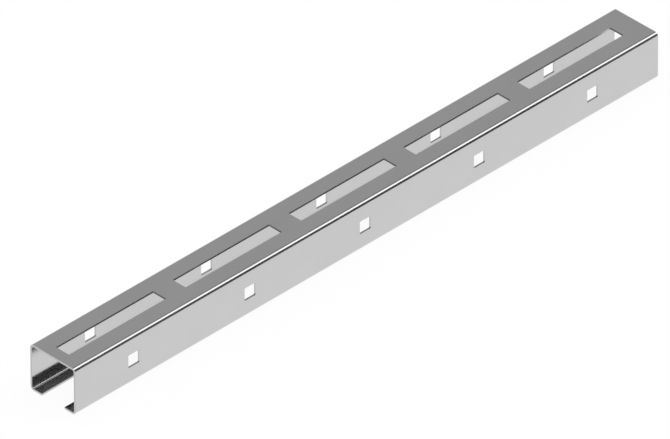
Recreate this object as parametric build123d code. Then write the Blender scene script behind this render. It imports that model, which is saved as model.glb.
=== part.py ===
from build123d import *
import os

# Strut channel: one length of roll-formed steel C section, opening downwards, punched for bolts.
#
# Millimetres. X runs along the channel, Y across it and Z up. The origin is the middle of the base: the
# channel rests on the undersides of its two lips at Z = 0, and the slotted web is on top.

# The section, as it is rolled from flat strip. Sizes are over the outer faces.
SECTION_WIDTH = 40.0
SECTION_HEIGHT = 35.0
SHEET_THICKNESS = 1.4
INNER_BEND_RADIUS = 1.6
# From a side wall's outer face to the lip's tip.
LIP_WIDTH = 10.0

# The cut length, and the bolt slots in the web. The pattern repeats by a slot and a bridge, and the
# near end is sawn through the middle of a bridge. The far end keeps whatever is left.
CHANNEL_LENGTH = 516.0
SLOT_LENGTH = 84.5
SLOT_WIDTH = 11.5
BRIDGE_LENGTH = 17.0
SLOT_CORNER_RADIUS = 0.5

# The square holes in the two side walls, one pair at the middle of each slot.
SQUARE_HOLE_SIDE = 9.5
SQUARE_HOLE_CORNER_RADIUS = 0.5

# How far a punch travels beyond the sheet that it cuts.
PUNCH_OVERRUN = 1.0

# Worked out from the sizes above.
HALF_WIDTH = SECTION_WIDTH / 2
LIP_TIP = HALF_WIDTH - LIP_WIDTH
NEAR_END = -CHANNEL_LENGTH / 2
HALF_BRIDGE = BRIDGE_LENGTH / 2
SLOT_PITCH = SLOT_LENGTH + BRIDGE_LENGTH
SLOT_COUNT = int(CHANNEL_LENGTH // SLOT_PITCH)
FIRST_SLOT_CENTRE = NEAR_END + HALF_BRIDGE + SLOT_LENGTH / 2
HOLE_HEIGHT = SECTION_HEIGHT / 2


def slot_centres() -> list[float]:
    """X of the middle of each slot, from the near end on."""
    return [FIRST_SLOT_CENTRE + number * SLOT_PITCH for number in range(SLOT_COUNT)]


def rolled_section() -> Sketch:
    """The open C section at the near end: its outer line from lip to lip, and one sheet inside it."""
    with BuildSketch(Plane.YZ.offset(NEAR_END)) as section:
        with BuildLine():
            FilletPolyline(
                (LIP_TIP, 0),
                (HALF_WIDTH, 0),
                (HALF_WIDTH, SECTION_HEIGHT),
                (-HALF_WIDTH, SECTION_HEIGHT),
                (-HALF_WIDTH, 0),
                (-LIP_TIP, 0),
                radius=INNER_BEND_RADIUS + SHEET_THICKNESS,
            )
            offset(amount=SHEET_THICKNESS, side=Side.LEFT)
        make_face()
    return section.sketch


def strut_channel() -> Part:
    """The rolled section at its cut length, with the web slots and the side holes punched out."""
    with BuildPart() as channel:
        extrude(rolled_section(), amount=CHANNEL_LENGTH, dir=(1, 0, 0))

        with BuildSketch(Plane.XY.offset(SECTION_HEIGHT)):
            with Locations(*[(x, 0) for x in slot_centres()]):
                RectangleRounded(SLOT_LENGTH, SLOT_WIDTH, SLOT_CORNER_RADIUS)
        extrude(amount=-(SHEET_THICKNESS + PUNCH_OVERRUN), mode=Mode.SUBTRACT)

        with BuildSketch(Plane.XZ):
            with Locations(*[(x, HOLE_HEIGHT) for x in slot_centres()]):
                RectangleRounded(SQUARE_HOLE_SIDE, SQUARE_HOLE_SIDE, SQUARE_HOLE_CORNER_RADIUS)
        extrude(amount=HALF_WIDTH + PUNCH_OVERRUN, both=True, mode=Mode.SUBTRACT)
    return channel.part


os.makedirs("parts", exist_ok=True)
export_step(strut_channel(), "parts/strut_channel.step")
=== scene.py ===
"""The looks of one length of slotted strut channel, with its studio and its camera.

Metres, in the part's own frame: X runs along the channel, Y across it and Z up. The channel lies on the
undersides of its lips at Z = 0, with the slotted web on top.
"""

from __future__ import annotations

import logging
import math
from dataclasses import dataclass, field
from enum import Enum

import bpy
import numpy as np
from mathutils import Matrix, Vector


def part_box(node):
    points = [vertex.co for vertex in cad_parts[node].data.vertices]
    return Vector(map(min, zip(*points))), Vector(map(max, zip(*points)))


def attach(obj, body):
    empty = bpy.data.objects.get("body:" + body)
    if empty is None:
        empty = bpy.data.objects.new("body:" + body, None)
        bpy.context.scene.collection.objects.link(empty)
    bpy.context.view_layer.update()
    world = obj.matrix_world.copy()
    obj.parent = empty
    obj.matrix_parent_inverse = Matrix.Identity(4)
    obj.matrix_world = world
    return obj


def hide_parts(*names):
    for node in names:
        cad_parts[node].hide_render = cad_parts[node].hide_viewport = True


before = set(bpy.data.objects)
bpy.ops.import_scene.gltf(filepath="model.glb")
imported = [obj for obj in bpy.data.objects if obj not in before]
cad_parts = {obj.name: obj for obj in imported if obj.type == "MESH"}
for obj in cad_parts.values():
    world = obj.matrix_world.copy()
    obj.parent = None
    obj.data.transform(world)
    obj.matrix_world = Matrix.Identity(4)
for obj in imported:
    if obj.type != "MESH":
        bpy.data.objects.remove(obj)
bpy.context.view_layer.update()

LOG = logging.getLogger("strut_channel")
MM = 0.001
# The middle of what a noise gives, between 0 and 1.
NOISE_MIDDLE = 0.5
# Grid lines that agree to this many decimals of a metre are one line.
LINE_DECIMALS = 9


class MeshAttribute(Enum):
    """Values that the channel's mesh carries for its material, one for each vertex."""

    # 1 on the sheared faces and their broken edges, 0 on the rolled skins.
    SHEARED = "sheared"
    # How far through the sheet a vertex lies: 0 on the outer skin, 1 on the inner one.
    THROUGH = "through"


class RayFact(Enum):
    """What the studio asks of a ray before it answers, as the Light Path node names it."""

    FROM_CAMERA = "Is Camera Ray"
    FROM_STEEL = "Is Glossy Ray"
    MIRRORS_PASSED = "Glossy Depth"


def grey(level: float) -> tuple[float, float, float, float]:
    """A grey of the given level, as a colour socket takes it."""
    return level, level, level, 1.0


def put(name: str, data: bpy.types.ID) -> bpy.types.Object:
    """Makes an object of a mesh, lamp or camera and links it to the scene.

    Args:
        name: the object's name.
        data: what it shows.

    Returns:
        The new object, at the origin.
    """
    made = bpy.data.objects.new(name, data)
    bpy.context.scene.collection.objects.link(made)
    return made


@dataclass
class NodeBench:
    """A node tree in the making.

    Attributes:
        tree: the tree that the nodes go into.
    """

    tree: bpy.types.NodeTree

    def node(self, kind: str, **settings: object) -> bpy.types.Node:
        """Adds a node.

        Args:
            kind: the node's type, such as ShaderNodeTexNoise.
            settings: its properties by name, such as operation="MULTIPLY".

        Returns:
            The new node.
        """
        made = self.tree.nodes.new(kind)
        for name, value in settings.items():
            setattr(made, name, value)
        return made

    def feed(self, socket: bpy.types.NodeSocket, value: object) -> None:
        """Gives an input socket a number or colour, or a link.

        Args:
            socket: the input.
            value: what it is set to, or the socket that feeds it.
        """
        if isinstance(value, bpy.types.NodeSocket):
            self.tree.links.new(value, socket)
        else:
            socket.default_value = value

    def set(self, node: bpy.types.Node, **values: object) -> bpy.types.Node:
        """Gives input sockets a value or a link.

        Args:
            node: the node whose inputs are filled.
            values: input name, with spaces as underscores, to a value or to the socket that feeds it.

        Returns:
            The same node.
        """
        for name, value in values.items():
            self.feed(node.inputs[name.replace("_", " ")], value)
        return node

    def ramp(self, source: bpy.types.NodeSocket, low: float, high: float) -> bpy.types.NodeSocket:
        """Spreads a value from 0 to 1 over the range low to high.

        Args:
            source: an input between 0 and 1.
            low: what 0 becomes.
            high: what 1 becomes.

        Returns:
            The socket with the spread value.
        """
        spread = self.node("ShaderNodeMapRange")
        self.set(spread, Value=source, To_Min=low, To_Max=high)
        return spread.outputs["Result"]

    def maths(self, operation: str, first: object, second: object) -> bpy.types.NodeSocket:
        """Works out one sum.

        Args:
            operation: the Math node's operation, such as MULTIPLY.
            first: a number or a socket.
            second: a number or a socket.

        Returns:
            The socket with the result.
        """
        step = self.node("ShaderNodeMath", operation=operation)
        for socket, value in zip(step.inputs, (first, second)):
            self.feed(socket, value)
        return step.outputs["Value"]

    def either(self, choice: bpy.types.NodeSocket, first: bpy.types.NodeSocket,
               second: bpy.types.NodeSocket) -> bpy.types.NodeSocket:
        """Mixes two shaders.

        Args:
            choice: 0 gives the first and 1 the second.
            first: a shader's socket.
            second: a shader's socket.

        Returns:
            The socket with the mixed shader.
        """
        mix = self.node("ShaderNodeMixShader")
        for socket, value in zip(mix.inputs, (choice, first, second)):
            self.feed(socket, value)
        return mix.outputs["Shader"]

    def blend(self, amount: bpy.types.NodeSocket, first: object, second: object) -> bpy.types.NodeSocket:
        """Mixes two numbers.

        Args:
            amount: 0 gives the first and 1 the second.
            first: a number or a socket.
            second: a number or a socket.

        Returns:
            The socket with the mixed number.
        """
        mix = self.node("ShaderNodeMix", data_type="FLOAT")
        inputs = {socket.identifier: socket for socket in mix.inputs}
        self.feed(inputs["Factor_Float"], amount)
        self.feed(inputs["A_Float"], first)
        self.feed(inputs["B_Float"], second)
        return mix.outputs[0]


@dataclass(frozen=True)
class Noise:
    """A noise pattern.

    Attributes:
        size: width of its largest features.
        detail: how many finer layers it adds.
        roughness: how strong each layer is against the one before.
    """

    size: float
    detail: float
    roughness: float

    def over(self, bench: NodeBench, place: bpy.types.NodeSocket) -> bpy.types.NodeSocket:
        """Lays the noise over space.

        Args:
            bench: the node tree that it goes into.
            place: the socket that gives the place.

        Returns:
            The socket with its value, between 0 and 1.
        """
        texture = bench.node("ShaderNodeTexNoise")
        bench.set(texture, Vector=place, Scale=1 / self.size, Detail=self.detail, Roughness=self.roughness)
        return texture.outputs["Fac"]


@dataclass(frozen=True)
class GalvanisedSteel:
    """Bright pre-galvanised strip, rolled lengthwise, with duller sheared edges.

    Attributes:
        tone: how much light the clean skin throws back.
        tone_drift: how far that wanders over the zinc's faint clouds and roll lines.
        gloss: roughness of the clean skin.
        gloss_drift: how far the roughness wanders.
        clouds: the zinc's clouds.
        lines: the roll lines, in a space whose unit is a line's length one way and its width the others.
        line_width: width of a roll line across the strip.
        line_length: length of a roll line along the channel.
        line_depth: height of the roll lines' relief.
        line_wipe: how much of a cloud the roll lines wipe out, least and most.
        shear_tone: how much light a sheared face throws back.
        burnish_gloss: roughness of the smooth land that the punch leaves next to the outer skin.
        fracture_gloss: roughness of the torn rest of a sheared face.
        burnish_depth: the land's share of the sheet's thickness.
        burnish_fade: half the width of the change from the land to the torn face, as such a share.
        grain: the torn face's grain.
        grain_depth: height of that grain.
    """

    tone: float = 0.575
    tone_drift: float = 0.05
    gloss: float = 0.13
    gloss_drift: float = 0.04
    clouds: Noise = Noise(28 * MM, detail=3.0, roughness=0.55)
    lines: Noise = Noise(1.0, detail=2.0, roughness=0.5)
    line_width: float = 0.35 * MM
    line_length: float = 45 * MM
    line_depth: float = 0.002 * MM
    line_wipe: tuple[float, float] = (0.35, 0.65)
    shear_tone: float = 0.50
    burnish_gloss: float = 0.14
    fracture_gloss: float = 0.20
    burnish_depth: float = 0.35
    burnish_fade: float = 0.04
    grain: Noise = Noise(0.12 * MM, detail=2.0, roughness=0.6)
    grain_depth: float = 0.005 * MM

    def material(self) -> bpy.types.Material:
        """Makes the finish on Object coordinates and the mesh's own attributes.

        Returns:
            The material.
        """
        made = bpy.data.materials.new("galvanised_steel")
        made.use_nodes = True
        bench = NodeBench(made.node_tree)
        shader = made.node_tree.nodes["Principled BSDF"]
        place = bench.node("ShaderNodeTexCoord").outputs["Object"]
        sheared, through = (
            bench.node("ShaderNodeAttribute", attribute_name=attribute.value).outputs["Fac"]
            for attribute in (MeshAttribute.SHEARED, MeshAttribute.THROUGH)
        )

        clouds = self.clouds.over(bench, place)
        pressed = bench.node("ShaderNodeMapping")
        across = 1 / self.line_width
        bench.set(pressed, Vector=place, Scale=(1 / self.line_length, across, across))
        lines = self.lines.over(bench, pressed.outputs["Vector"])
        grain = self.grain.over(bench, place)

        torn_step = bench.node("ShaderNodeMapRange", interpolation_type="SMOOTHSTEP")
        torn_from = self.burnish_depth - self.burnish_fade
        torn_to = self.burnish_depth + self.burnish_fade
        torn = bench.set(torn_step, Value=through, From_Min=torn_from, From_Max=torn_to).outputs["Result"]

        wander = bench.blend(bench.ramp(lines, *self.line_wipe), clouds, NOISE_MIDDLE)
        skin_tone = bench.ramp(wander, self.tone - self.tone_drift, self.tone + self.tone_drift)
        tone = bench.blend(sheared, skin_tone, self.shear_tone)
        colour = bench.node("ShaderNodeCombineColor")
        bench.set(colour, Red=tone, Green=tone, Blue=tone)

        skin_gloss = bench.ramp(clouds, self.gloss - self.gloss_drift, self.gloss + self.gloss_drift)
        cut_gloss = bench.blend(torn, self.burnish_gloss, self.fracture_gloss)
        gloss = bench.blend(sheared, skin_gloss, cut_gloss)

        rolled = bench.node("ShaderNodeBump")
        bench.set(rolled, Strength=1.0, Distance=self.line_depth, Height=lines)
        rough_edge = bench.maths("MULTIPLY", torn, sheared)
        torn_relief = bench.node("ShaderNodeBump")
        bench.set(torn_relief, Strength=rough_edge, Distance=self.grain_depth)
        bench.set(torn_relief, Height=grain, Normal=rolled.outputs["Normal"])

        bench.set(shader, Metallic=1.0, Base_Color=colour.outputs["Color"], Roughness=gloss)
        bench.set(shader, Normal=torn_relief.outputs["Normal"])
        return made


@dataclass(frozen=True)
class RolledSection:
    """The open C section, and how the flat strip is rolled into it.

    A place on the flat strip is given by its distance across, from the web's middle line round the section,
    and by its distance along the channel.

    Attributes:
        width: over the side walls' outer faces.
        height: over the lips' and the web's outer faces.
        sheet: the strip's thickness.
        inner_bend: inside radius of the four bends.
        lip: from a side wall's outer face to the lip's tip.
        bend_steps: facets to a bend.
    """

    width: float
    height: float
    sheet: float = 1.4 * MM
    inner_bend: float = 1.6 * MM
    lip: float = 10.0 * MM
    bend_steps: int = 14

    @property
    def outer_bend(self) -> float:
        """Outside radius of a bend."""
        return self.inner_bend + self.sheet

    @property
    def middle_bend(self) -> float:
        """Radius of a bend at the middle of the sheet, where the strip keeps its length."""
        return self.inner_bend + self.sheet / 2

    @property
    def arc(self) -> float:
        """Strip used by one bend."""
        return math.pi / 2 * self.middle_bend

    @property
    def half_web(self) -> float:
        """Half the flat of the web."""
        return self.width / 2 - self.outer_bend

    @property
    def wall(self) -> float:
        """Flat of a side wall."""
        return self.height - 2 * self.outer_bend

    @property
    def wall_start(self) -> float:
        """Distance across the strip to where a side wall's flat begins."""
        return self.half_web + self.arc

    @property
    def wall_middle(self) -> float:
        """Distance across the strip to the middle of a side wall."""
        return self.wall_start + self.wall / 2

    @property
    def half_strip(self) -> float:
        """Half the width of the flat strip."""
        return self.wall_start + self.wall + self.arc + self.lip - self.outer_bend

    def bend_lines(self) -> np.ndarray:
        """Places the facet lines of the four bends, evenly round each bend.

        Returns:
            Their distances across the strip.
        """
        share = np.linspace(0, self.arc, self.bend_steps + 1)
        one_side = np.concatenate([self.half_web + share, self.wall_start + self.wall + share])
        return np.concatenate([-one_side, one_side])

    def turn(self, across: np.ndarray) -> np.ndarray:
        """How far the section has turned from the web's direction, in radians.

        The turn grows evenly from 0 to a right angle over the first bend, stays there down the wall, and
        grows to two right angles over the second bend.

        Args:
            across: distances across the strip.

        Returns:
            The angle at each of them.
        """
        far = np.abs(across)
        first = np.clip(far - self.half_web, 0, self.arc)
        second = np.clip(far - self.wall_start - self.wall, 0, self.arc)
        return (first + second) / self.middle_bend

    def outward(self, across: np.ndarray) -> np.ndarray:
        """Unit normals of the outer skin: up on the web, sideways on a wall and down under a lip."""
        turn = self.turn(across)
        return np.stack([np.zeros_like(turn), np.sign(across) * np.sin(turn), np.cos(turn)], axis=-1)

    def sideways(self, across: np.ndarray) -> np.ndarray:
        """Unit directions in which the strip runs across, for growing distances."""
        turn = self.turn(across)
        return np.stack([np.zeros_like(turn), np.cos(turn), -np.sign(across) * np.sin(turn)], axis=-1)

    def roll(self, across: np.ndarray, along: np.ndarray, proud: np.ndarray) -> np.ndarray:
        """Rolls places on the flat strip into the section.

        The middle of the sheet runs straight over the half web, takes a quarter circle, runs down the wall,
        takes another quarter circle and runs back along the lip. A place lies on it, shifted along the
        outward normal by its height in the sheet.

        Args:
            across: distances across the strip.
            along: distances along the channel.
            proud: heights over the middle of the sheet, towards the outer skin.

        Returns:
            The places in space.
        """
        far = np.abs(across)
        web = np.minimum(far, self.half_web)
        first = np.clip(far - self.half_web, 0, self.arc) / self.middle_bend
        down = np.clip(far - self.wall_start, 0, self.wall)
        second = np.clip(far - self.wall_start - self.wall, 0, self.arc) / self.middle_bend
        back = np.maximum(far - self.wall_start - self.wall - self.arc, 0)
        side = web + self.middle_bend * (np.sin(first) - 1 + np.cos(second)) - back
        drop = self.middle_bend * (1 - np.cos(first) + np.sin(second)) + down
        top = self.height - self.sheet / 2
        middle = np.stack([along, np.sign(across) * side, top - drop], axis=-1)
        return middle + np.asarray(proud)[..., None] * self.outward(across)


@dataclass(frozen=True)
class RoundedWindow:
    """A rectangle with round corners on the flat strip: a punched opening, or the strip's own outline.

    Attributes:
        across: its middle across the strip.
        along: its middle along the channel.
        half_across: half its size across.
        half_along: half its size along.
        corner: radius of its corners.
        void_inside: true for an opening, false for the strip's outline.
        corner_steps: facets to half a corner.
    """

    across: float
    along: float
    half_across: float
    half_along: float
    corner: float
    void_inside: bool = True
    corner_steps: int = 3

    @property
    def middle(self) -> np.ndarray:
        """Its middle, across and along."""
        return np.array([self.across, self.along])

    @property
    def straight(self) -> np.ndarray:
        """Half sizes of the rectangle on which its corners' centres lie."""
        return np.array([self.half_across - self.corner, self.half_along - self.corner])

    @property
    def towards_void(self) -> float:
        """1 where the void lies outside it and -1 where the void lies inside."""
        return -1.0 if self.void_inside else 1.0

    def grown_corner(self, edge: float) -> float:
        """Corner radius of the line where the skin stops, one broken edge short of the void."""
        return self.corner - self.towards_void * edge

    def lines(self, axis: int, edge: float) -> np.ndarray:
        """Grid lines that it needs in one direction.

        Each corner takes lines at the tangents of evenly spaced angles, so that pushing them on to the
        corner's circle spaces them evenly.

        Args:
            axis: 0 for across, 1 for along.
            edge: radius of the broken edge.

        Returns:
            The lines' places.
        """
        reach = np.tan(np.linspace(0, math.pi / 4, self.corner_steps + 1)) * self.grown_corner(edge)
        away = self.straight[axis] + reach
        return np.concatenate([self.middle[axis] - away, self.middle[axis] + away])

    def span(self, axis: int, edge: float) -> tuple[float, float]:
        """Where its two sides lie in one direction, on the line where the skin stops."""
        half = self.straight[axis] + self.grown_corner(edge)
        return self.middle[axis] - half, self.middle[axis] + half

    def rays(self, places: np.ndarray) -> tuple[np.ndarray, np.ndarray]:
        """Splits places near its rim into a point of its inner rectangle and a unit direction from it.

        Args:
            places: points on or near the rim, across and along.

        Returns:
            The nearest points of the rectangle on which the corners' centres lie, and the directions.
        """
        away = places - self.middle
        inner = np.clip(away, -self.straight, self.straight)
        out = away - inner
        return self.middle + inner, out / np.linalg.norm(out, axis=-1, keepdims=True)


@dataclass
class PunchedStrip:
    """The channel's steel as a closed mesh: a flat strip, punched, edges broken, then rolled.

    Attributes:
        section: what it is rolled into.
        near_end: the sawn end that the slots are counted from.
        far_end: the other sawn end.
        slot_length: length of a web slot.
        slot_width: width of a web slot.
        bridge: steel left between two slots.
        square: side of a square hole.
        punch_corner: radius of a punch's corners.
        sheared_corner: radius at the strip's own four corners.
        edge: radius of the broken edges.
        edge_steps: facets to a broken edge.
        cell: longest cell of the grid.
    """

    section: RolledSection
    near_end: float
    far_end: float
    slot_length: float = 84.5 * MM
    slot_width: float = 11.5 * MM
    bridge: float = 17.0 * MM
    square: float = 9.5 * MM
    punch_corner: float = 0.5 * MM
    sheared_corner: float = 0.35 * MM
    edge: float = 0.03 * MM
    edge_steps: int = 3
    cell: float = 12.0 * MM
    windows: list[RoundedWindow] = field(init=False)

    def __post_init__(self) -> None:
        """Places the openings: a slot to each whole pitch, with a square hole in each wall at its middle."""
        pitch = self.slot_length + self.bridge
        count = int((self.far_end - self.near_end) // pitch)
        first = self.near_end + self.bridge / 2 + self.slot_length / 2
        half_length = (self.far_end - self.near_end) / 2
        middle = (self.far_end + self.near_end) / 2
        strip = (0.0, middle, self.section.half_strip, half_length, self.sheared_corner)
        self.windows = [RoundedWindow(*strip, void_inside=False)]
        for x in (first + number * pitch for number in range(count)):
            slot = (0.0, x, self.slot_width / 2, self.slot_length / 2, self.punch_corner)
            self.windows.append(RoundedWindow(*slot))
            half_square = self.square / 2
            for wall in (-self.section.wall_middle, self.section.wall_middle):
                self.windows.append(RoundedWindow(wall, x, half_square, half_square, self.punch_corner))

    def grid_lines(self, axis: int, extra: np.ndarray) -> np.ndarray:
        """All grid lines in one direction, with long gaps divided evenly.

        Args:
            axis: 0 for across, 1 for along.
            extra: lines wanted besides the windows' own.

        Returns:
            The lines in rising order.
        """
        wanted = np.concatenate([window.lines(axis, self.edge) for window in self.windows] + [extra])
        lines = np.unique(np.round(wanted, LINE_DECIMALS))
        counts = np.maximum(np.ceil(np.diff(lines) / self.cell), 1).astype(int)
        knots = np.concatenate([[0], np.cumsum(counts)])
        return np.interp(np.arange(knots[-1] + 1), knots, lines)

    def loop(self, window: RoundedWindow, across: np.ndarray, along: np.ndarray) -> np.ndarray:
        """The grid points round a window, in order.

        Args:
            window: the window.
            across: the grid's lines across.
            along: the grid's lines along.

        Returns:
            Indices into the flattened grid, each point once.
        """
        low_i, high_i = (int(np.abs(across - side).argmin()) for side in window.span(0, self.edge))
        low_j, high_j = (int(np.abs(along - side).argmin()) for side in window.span(1, self.edge))
        i, j = np.arange(low_i, high_i), np.arange(low_j, high_j)
        rows = [np.full(j.size, low_i), i, np.full(j.size, high_i), i[::-1] + 1]
        columns = [j, np.full(i.size, high_j), j[::-1] + 1, np.full(i.size, low_j)]
        return np.concatenate(rows) * along.size + np.concatenate(columns)

    def rim(self, window: RoundedWindow, flat: np.ndarray) -> tuple[np.ndarray, np.ndarray, np.ndarray]:
        """The sheared face round a window, as a profile carried along its loop.

        The profile leaves the outer skin, rounds the broken edge as a quarter circle, runs straight through
        the sheet, and rounds the other broken edge on to the inner skin.

        Args:
            window: the window.
            flat: places of the loop's points on the flat strip.

        Returns:
            Places and unit normals, profile by loop, and how far each place lies through the sheet.
        """
        quarter = np.linspace(0, math.pi / 2, self.edge_steps + 1)
        lean = np.concatenate([quarter, quarter + math.pi / 2])
        base = np.repeat([1.0, -1.0], quarter.size) * (self.section.sheet / 2 - self.edge)
        proud = (base + self.edge * np.cos(lean))[:, None] * np.ones(len(flat))
        inner, out = window.rays(flat)
        radius = window.grown_corner(self.edge) + window.towards_void * self.edge * np.sin(lean)
        places = inner + radius[:, None, None] * out
        across, along = places[..., 0], places[..., 1]
        into = window.towards_void * out
        lengthways = np.array([1.0, 0.0, 0.0])
        level = into[:, 0, None] * self.section.sideways(flat[:, 0]) + into[:, 1, None] * lengthways
        upright = np.cos(lean)[:, None, None] * self.section.outward(across)
        normals = np.sin(lean)[:, None, None] * level + upright
        through = 0.5 - proud / self.section.sheet
        return self.section.roll(across, along, proud), normals, through

    def mesh(self, name: str) -> bpy.types.Mesh:
        """Builds the closed mesh: the outer skin, the inner skin and a rim round each window.

        Args:
            name: the mesh's name.

        Returns:
            The mesh, with exact normals and the attributes that its finish reads.
        """
        across = self.grid_lines(0, self.section.bend_lines())
        along = self.grid_lines(1, np.empty(0))
        flat = np.stack(np.meshgrid(across, along, indexing="ij"), axis=-1).reshape(-1, 2)
        loops = [self.loop(window, across, along) for window in self.windows]
        for window, loop in zip(self.windows, loops):
            inner, out = window.rays(flat[loop])
            flat[loop] = inner + window.grown_corner(self.edge) * out

        half = np.full(len(flat), self.section.sheet / 2)
        outward = self.section.outward(flat[:, 0])
        places = [self.section.roll(flat[:, 0], flat[:, 1], proud) for proud in (half, -half)]
        normals = [outward, -outward]
        through = [np.zeros(len(flat)), np.ones(len(flat))]
        sheared = [np.zeros(2 * len(flat))]

        quads = [self.skin_cells(across, along)]
        quads.append(quads[0][:, ::-1] + len(flat))
        used = 2 * len(flat)
        # A rim's first and last rows are the loops on the two skins.
        inside = slice(1, -1)
        for window, loop in zip(self.windows, loops):
            rim_places, rim_normals, rim_through = self.rim(window, flat[loop])
            rows = np.arange(used, used + rim_through[inside].size).reshape(rim_through[inside].shape)
            table = np.vstack([loop, rows, loop + len(flat)])
            following = np.roll(table, -1, axis=1)
            band = np.stack([table[:-1], following[:-1], following[1:], table[1:]], axis=-1).reshape(-1, 4)
            quads.append(band if window.void_inside else band[:, ::-1])
            places.append(rim_places[inside].reshape(-1, 3))
            normals.append(rim_normals[inside].reshape(-1, 3))
            through.append(rim_through[inside].ravel())
            sheared.append(np.ones(rows.size))
            used += rows.size
        return self.store(name, np.vstack(places), np.vstack(normals), np.vstack(quads),
                          {MeshAttribute.SHEARED: np.concatenate(sheared),
                           MeshAttribute.THROUGH: np.concatenate(through)})

    def skin_cells(self, across: np.ndarray, along: np.ndarray) -> np.ndarray:
        """The outer skin's cells, but for those that lie in an opening.

        Args:
            across: the grid's lines across.
            along: the grid's lines along.

        Returns:
            Four indices to a cell, facing outwards.
        """
        point = np.arange(across.size * along.size).reshape(across.size, along.size)
        corners = (point[:-1, :-1], point[:-1, 1:], point[1:, 1:], point[1:, :-1])
        cells = np.stack(corners, axis=-1)
        centre_across = ((across[:-1] + across[1:]) / 2)[:, None]
        centre_along = ((along[:-1] + along[1:]) / 2)[None, :]
        kept = np.ones(cells.shape[:2], bool)
        for window in self.windows:
            if window.void_inside:
                low, high = window.span(0, self.edge)
                left, right = window.span(1, self.edge)
                inside_across = (centre_across > low) & (centre_across < high)
                kept &= ~(inside_across & (centre_along > left) & (centre_along < right))
        return cells[kept]

    @staticmethod
    def store(name: str, places: np.ndarray, normals: np.ndarray, quads: np.ndarray,
              attributes: dict[MeshAttribute, np.ndarray]) -> bpy.types.Mesh:
        """Puts whole arrays into a mesh, without the points that no cell uses.

        Args:
            name: the mesh's name.
            places: the points.
            normals: their unit normals.
            quads: four indices to a face.
            attributes: a value for each point, by attribute.

        Returns:
            The mesh.
        """
        kept, corners = np.unique(quads.ravel(), return_inverse=True)
        made = bpy.data.meshes.new(name)
        made.vertices.add(kept.size)
        made.vertices.foreach_set("co", places[kept].astype(np.float32).ravel())
        made.loops.add(corners.size)
        made.loops.foreach_set("vertex_index", corners.astype(np.int32).ravel())
        made.polygons.add(len(quads))
        made.polygons.foreach_set("loop_start", np.arange(0, corners.size, 4, dtype=np.int32))
        made.update(calc_edges=True)
        made.polygons.foreach_set("use_smooth", np.ones(len(quads), bool))
        made.normals_split_custom_set_from_vertices(normals[kept])
        for attribute, values in attributes.items():
            layer = made.attributes.new(attribute.value, "FLOAT", "POINT")
            layer.data.foreach_set("value", values[kept].astype(np.float32))
        made.validate()
        return made


@dataclass
class StrutChannel:
    """The one piece of steel, built from its solid's box in the frame.

    Attributes:
        node: the solid that the piece stands for.
        finish: the steel's finish.
    """

    node: str = "strut_channel"
    finish: GalvanisedSteel = field(default_factory=GalvanisedSteel)

    def build(self) -> bpy.types.Object:
        """Builds the channel, with its overall size read from the frame.

        Returns:
            The finished piece, riding on the frame.
        """
        low, high = (Vector(corner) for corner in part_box(self.node))
        section = RolledSection(width=high.y - low.y, height=high.z - low.z)
        strip = PunchedStrip(section=section, near_end=low.x, far_end=high.x)
        piece = put("channel_steel", strip.mesh("channel_steel"))
        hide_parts(self.node)
        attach(piece, "root")
        self.dress(piece)
        return piece

    def dress(self, piece: bpy.types.Object) -> None:
        """Gives the channel its finish.

        Args:
            piece: the channel.
        """
        piece.data.materials.append(self.finish.material())


@dataclass(frozen=True)
class LongLens:
    """The camera, far off with a long lens, so that parallel edges stay parallel.

    Attributes:
        lens: focal length in millimetres, over a sensor 36 mm wide.
        distance: from the point looked at.
        azimuth: direction of view in degrees, from +Y towards +X.
        elevation: height above the horizon in degrees.
        roll: turn about the view direction in degrees.
        target: the point looked at.
        nearest: nothing nearer to the camera is drawn.
        farthest: nothing farther off is drawn.
    """

    lens: float = 1120.0
    distance: float = 13.074
    azimuth: float = 44.827
    elevation: float = 35.343
    roll: float = -0.1075
    target: tuple[float, float, float] = (-7.93 * MM, 3.17 * MM, 12.07 * MM)
    nearest: float = 1.0
    farthest: float = 60.0

    @property
    def ahead(self) -> Vector:
        """Works out the direction in which the camera looks.

        Returns:
            A unit vector.
        """
        turn, rise = math.radians(self.azimuth), math.radians(self.elevation)
        level = Vector((math.sin(turn), math.cos(turn), 0.0))
        return level * math.cos(rise) - Vector((0.0, 0.0, math.sin(rise)))

    def place(self) -> bpy.types.Object:
        """Sets the scene's camera: level, then rolled, then drawn back from the point looked at.

        Returns:
            The camera.
        """
        ahead = self.ahead
        right = ahead.cross(Vector((0.0, 0.0, 1.0))).normalized()
        up = right.cross(ahead)
        tilt = math.radians(self.roll)
        across = right * math.cos(tilt) + up * math.sin(tilt)
        upright = up * math.cos(tilt) - right * math.sin(tilt)
        pose = Matrix((across, upright, -ahead)).transposed().to_4x4()
        pose.translation = Vector(self.target) - ahead * self.distance
        data = bpy.data.cameras.new("camera")
        data.lens = self.lens
        data.clip_start = self.nearest
        data.clip_end = self.farthest
        made = put("camera", data)
        made.matrix_world = pose
        bpy.context.scene.camera = made
        return made


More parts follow.
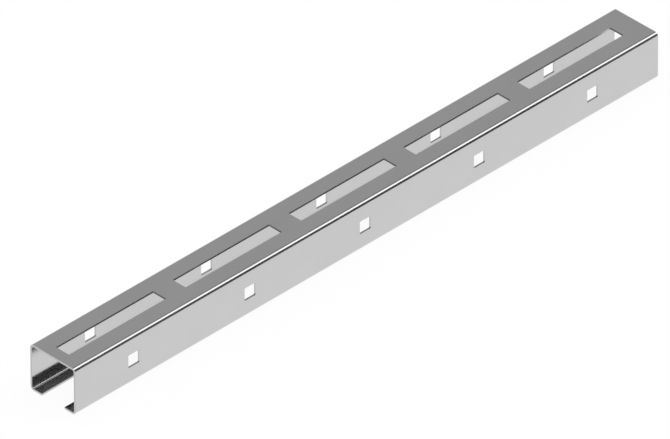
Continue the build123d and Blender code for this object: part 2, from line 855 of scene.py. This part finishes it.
@dataclass(frozen=True)
class BendCard:
    """A curved card in the studio that fills a stretch of what the near top bend mirrors to the camera.

    The bend is a long thin mirror that turns from the web's direction, 0, to the side wall's, a right
    angle. A card that fills its turns from one angle to another draws a line of even width along the
    whole channel.

    Attributes:
        name: the card's name.
        first_turn: the bend's turn in degrees at which the card begins.
        last_turn: the bend's turn in degrees at which the card ends.
        half_width: half the card's width, as an angle in degrees seen from the channel.
        distance: how far away it hangs.
        paint: how much light the card throws back.
        glow: how bright it shines by itself, where 1 is white.
        steps: facets along its curve.
    """

    name: str
    first_turn: float
    last_turn: float
    half_width: float
    distance: float = 38.0
    paint: float = 0.8
    glow: float = 0.0
    steps: int = 16

    def hang(self, view: Vector) -> bpy.types.Object:
        """Hangs the card where the bend mirrors it.

        Where the bend has turned by t from the web, its normal n is (0, -sin t, cos t), and it mirrors the
        view d towards d - 2 (d . n) n. The card follows these directions at its distance, and stands out
        from them to both sides by the tangent of its half width. It ends at the floor.

        Args:
            view: direction in which the camera looks.

        Returns:
            The card, unseen by the camera.
        """
        turn = np.radians(np.linspace(self.first_turn, self.last_turn, self.steps + 1))
        normal = np.stack([np.zeros_like(turn), -np.sin(turn), np.cos(turn)], axis=-1)
        ahead = np.array(view)
        towards = ahead - 2 * (normal @ ahead)[:, None] * normal
        onward = np.gradient(towards, axis=0)
        sideways = np.cross(towards, onward)
        sideways *= math.tan(math.radians(self.half_width)) / np.linalg.norm(sideways, axis=1, keepdims=True)
        places = self.distance * np.stack([towards - sideways, towards + sideways], axis=1).reshape(-1, 3)
        places[:, 2] = np.maximum(places[:, 2], 0.0)
        first = 2 * np.arange(self.steps)
        quads = np.stack([first, first + 1, first + 3, first + 2], axis=-1)
        sheet = bpy.data.meshes.new(self.name)
        sheet.from_pydata(places.tolist(), [], quads.tolist())
        sheet.materials.append(self.surface())
        made = put(self.name, sheet)
        made.visible_camera = False
        return made

    def surface(self) -> bpy.types.Material:
        """Makes the card's matt paint, with its glow.

        Returns:
            The material.
        """
        made = bpy.data.materials.new(self.name)
        made.use_nodes = True
        shader = made.node_tree.nodes["Principled BSDF"]
        shader.inputs["Base Color"].default_value = grey(self.paint)
        shader.inputs["Roughness"].default_value = 1.0
        shader.inputs["Specular IOR Level"].default_value = 0.0
        shader.inputs["Emission Color"].default_value = grey(1.0)
        shader.inputs["Emission Strength"].default_value = self.glow
        return made


@dataclass(frozen=True)
class CeilingBox:
    """A square softbox straight above the channel, which the steel doesn't mirror.

    Attributes:
        height: how high it hangs.
        side: its side.
        radiance: how bright its face looks, where 1 is white.
    """

    height: float = 3.0
    side: float = 2.4
    radiance: float = 1.2

    def hang(self) -> bpy.types.Object:
        """Hangs the lamp, with the power that gives its face the wanted radiance.

        The power is the radiance times pi times the face's area.

        Returns:
            The lamp.
        """
        lamp = bpy.data.lights.new("ceiling_box", "AREA")
        lamp.shape = "SQUARE"
        lamp.size = self.side
        lamp.energy = self.radiance * math.pi * self.side ** 2
        made = put("ceiling_box", lamp)
        made.location = (0.0, 0.0, self.height)
        made.visible_camera = False
        made.visible_glossy = False
        return made


@dataclass(frozen=True)
class Studio:
    """A pale floor, a plain grey room round it, and soft light.

    Attributes:
        floor_half: half the floor's side.
        floor_albedo: how much light the floor throws on to other things.
        shadow_share: the floor's part that light and shadow fall on, as the camera sees it.
        first_mirror: a ray that has met fewer mirrors than this, so one at most, finds a plain white floor.
        deep_share: how white the floor stays to other rays from the steel.
        open_light: light on the open floor, where 1 lights white to white.
        room_grey: how bright the room looks in the steel.
        grey_line: the grey card that the near bend mirrors as a faint line along the web's edge.
        bright_line: the softbox that it mirrors as its bright line.
        dark_line: the black cards that it mirrors as the dark line below. The slit between them is where
            the web would mirror a black card to a view from the back left corner.
        ceiling: the softbox above.
    """

    floor_half: float = 40.0
    floor_albedo: float = 0.8
    shadow_share: float = 0.08
    first_mirror: float = 1.5
    deep_share: float = 0.3
    open_light: float = 0.75
    room_grey: float = 0.472
    grey_line: BendCard = BendCard("grey_card", 5.0, 21.5, half_width=5.0, paint=0.70)
    bright_line: BendCard = BendCard("bright_card", 23.5, 39.5, half_width=11.0, glow=1.57)
    dark_line: tuple[BendCard, ...] = (
        BendCard("dark_card_high", 39.5, 43.6, half_width=3.0, paint=0.02),
        BendCard("dark_card_low", 46.4, 70.0, half_width=3.0, paint=0.02),
    )
    ceiling: CeilingBox = CeilingBox()

    def floor(self) -> bpy.types.Object:
        """Lays the floor at Z = 0.

        Returns:
            The floor.
        """
        reach = self.floor_half
        corners = [(-reach, -reach, 0), (reach, -reach, 0), (reach, reach, 0), (-reach, reach, 0)]
        sheet = bpy.data.meshes.new("floor")
        sheet.from_pydata(corners, [], [(0, 1, 2, 3)])
        sheet.materials.append(self.floor_paint())
        made = put("floor", sheet)
        return made

    def floor_paint(self) -> bpy.types.Material:
        """White where the camera sees it or the steel mirrors it, with the channel's shadow kept.

        The steel mirrors plain white once. A ray that has passed a second mirror, inside the channel, finds
        mostly the floor as it is really lit, so that the hollow goes dark in its depth.

        Returns:
            The floor's material.
        """
        made = bpy.data.materials.new("pale_floor")
        made.use_nodes = True
        tree = made.node_tree
        tree.nodes.clear()
        bench = NodeBench(tree)
        ray = bench.node("ShaderNodeLightPath")
        shaded = bench.set(bench.node("ShaderNodeBsdfDiffuse"), Color=grey(self.shadow_share))
        glow = bench.set(bench.node("ShaderNodeEmission"), Strength=1.0 - self.shadow_share * self.open_light)
        seen = bench.node("ShaderNodeAddShader")
        tree.links.new(shaded.outputs["BSDF"], seen.inputs[0])
        tree.links.new(glow.outputs["Emission"], seen.inputs[1])
        plain = bench.set(bench.node("ShaderNodeBsdfDiffuse"), Color=grey(self.floor_albedo))
        white = bench.set(bench.node("ShaderNodeEmission"), Strength=1.0)
        passed = ray.outputs[RayFact.MIRRORS_PASSED.value]
        at_first = bench.maths("LESS_THAN", passed, self.first_mirror)
        whiteness = bench.maths("MAXIMUM", at_first, self.deep_share)
        mirrored = bench.maths("MULTIPLY", ray.outputs[RayFact.FROM_STEEL.value], whiteness)
        by_camera = ray.outputs[RayFact.FROM_CAMERA.value]
        looked_at = bench.either(by_camera, plain.outputs["BSDF"], seen.outputs["Shader"])
        whole = bench.either(mirrored, looked_at, white.outputs["Emission"])
        sink = bench.node("ShaderNodeOutputMaterial")
        tree.links.new(whole, sink.inputs["Surface"])
        return made

    def room(self) -> None:
        """Paints the room: white to the camera, plain grey to everything else."""
        world = bpy.data.worlds.new("grey_room")
        world.use_nodes = True
        tree = world.node_tree
        tree.nodes.clear()
        bench = NodeBench(tree)
        ray = bench.node("ShaderNodeLightPath")
        walls = bench.set(bench.node("ShaderNodeBackground"), Color=grey(self.room_grey), Strength=1.0)
        white = bench.set(bench.node("ShaderNodeBackground"), Color=grey(1.0), Strength=1.0)
        whole = bench.either(ray.outputs[RayFact.FROM_CAMERA.value], walls.outputs[0], white.outputs[0])
        sink = bench.node("ShaderNodeOutputWorld")
        tree.links.new(whole, sink.inputs["Surface"])
        bpy.context.scene.world = world

    def set_up(self, view: Vector) -> list[bpy.types.Object]:
        """Lays the floor, paints the room and hangs the cards and the lamp.

        Args:
            view: direction in which the camera looks.

        Returns:
            The floor, the cards and the lamp.
        """
        floor = self.floor()
        self.room()
        cards = [card.hang(view) for card in (self.grey_line, self.bright_line, *self.dark_line)]
        return [floor, *cards, self.ceiling.hang()]


def main() -> None:
    """Builds the camera, the channel and the studio, in that order, and reports each."""
    logging.basicConfig(level=logging.INFO, format="%(name)s %(message)s")
    bpy.context.scene.view_settings.view_transform = "Standard"
    camera = LongLens()
    LOG.info("%s: lens %.0f mm", camera.place().name, camera.lens)
    channel = StrutChannel().build()
    LOG.info("%s: %d faces", channel.name, len(channel.data.polygons))
    for thing in Studio().set_up(camera.ahead):
        LOG.info("%s: in place", thing.name)


if __name__ == "__main__":
    main()
